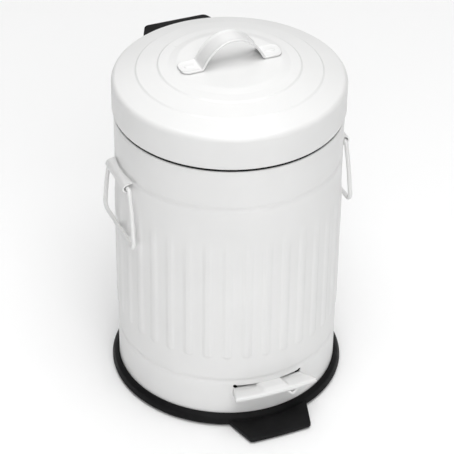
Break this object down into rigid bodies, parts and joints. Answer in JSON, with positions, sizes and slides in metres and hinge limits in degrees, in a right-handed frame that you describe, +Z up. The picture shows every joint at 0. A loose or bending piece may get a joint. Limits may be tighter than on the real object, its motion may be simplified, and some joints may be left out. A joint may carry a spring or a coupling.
{
  "type": "pedal trash can",
  "caption": "Small round pedal bin with ribbed white steel body, stepped domed lid with strap handle, wire side grips, black base ring and an inner bucket.",
  "frame": {"origin": "on the body's axis, at floor level under the rubber pads", "axes": "+Z up the body's axis to the lid, -Y towards the pedal at the front, +Y towards the hinge, +X to the right of a person who stands in front of the pedal and looks at the bin"},
  "size_m": [0.2156, 0.262, 0.3475],
  "materials": {
    "white_paint": "smooth white powder coat, semi-gloss",
    "black_plastic": "fine-grained moulded black plastic",
    "plated_steel": "zinc-plated steel",
    "black_rubber": "matt rubber"
  },
  "bodies": {
    "base": {"body_shell": "white_paint", "base_tray": "black_plastic", "pivot_bracket": "plated_steel", "pedal_axle": "plated_steel", "axle_clip_left": "plated_steel", "axle_clip_right": "plated_steel", "bracket_screw_left": "plated_steel", "bracket_screw_right": "plated_steel", "hinge_bracket": "plated_steel", "hinge_pin": "plated_steel", "bracket_rivet_left": "plated_steel", "bracket_rivet_right": "plated_steel", "hinge_cover": "black_plastic", "cover_screw_left": "plated_steel", "cover_screw_right": "plated_steel", "handle_bracket_left": "white_paint", "handle_bracket_right": "white_paint", "rod_guide_lower": "black_plastic", "rod_guide_upper": "black_plastic", "foot_pad_1": "black_rubber", "foot_pad_2": "black_rubber", "foot_pad_3": "black_rubber", "foot_pad_4": "black_rubber"},
    "lid": {"lid_shell": "white_paint", "lid_handle": "white_paint", "handle_rivet_left": "white_paint", "handle_rivet_right": "white_paint", "lid_leaf": "plated_steel", "leaf_rivet_left": "plated_steel", "leaf_rivet_right": "plated_steel"},
    "pedal": {"pedal_lever": "white_paint"},
    "rod": {"push_rod": "plated_steel"},
    "bucket": {"inner_bucket": "black_plastic", "bucket_rim": "black_plastic"},
    "bail": {"bucket_bail": "plated_steel"},
    "left_grip": {"wire_handle_left": "white_paint"},
    "right_grip": {"wire_handle_right": "white_paint"}
  },
  "joints": [
    {"name": "lid_hinge", "type": "hinge", "parent": "base", "child": "lid", "pos_m": [0, 0.116, 0.284], "axis": [-1, 0, 0], "range_deg": [0, 75]},
    {"name": "pedal_pivot", "type": "hinge", "parent": "base", "child": "pedal", "pos_m": [0, -0.006, 0.028], "axis": [1, 0, 0], "range_deg": [0, 6.14]},
    {"name": "rod_slide", "type": "slide", "parent": "base", "child": "rod", "axis": [0, 0, 1], "range_m": [0, 0.01092]},
    {"name": "bucket_lift", "type": "slide", "parent": "base", "child": "bucket", "axis": [0, 0, 1], "range_m": [0, 0.002]},
    {"name": "bail_swing", "type": "hinge", "parent": "bucket", "child": "bail", "pos_m": [0, 0, 0.268], "axis": [-1, 0, 0], "range_deg": [0, 20]},
    {"name": "left_grip_swing", "type": "hinge", "parent": "base", "child": "left_grip", "pos_m": [-0.1032, 0, 0.2283], "axis": [0, 1, 0], "range_deg": [0, 150]},
    {"name": "right_grip_swing", "type": "hinge", "parent": "base", "child": "right_grip", "pos_m": [0.1032, 0, 0.2283], "axis": [0, -1, 0], "range_deg": [0, 150]}
  ],
  "couplings": [
    {"joint": "pedal_pivot", "follows": "lid_hinge", "ratio": 0.081933},
    {"joint": "rod_slide", "follows": "lid_hinge", "m_per_rad": 0.0083422}
  ]
}
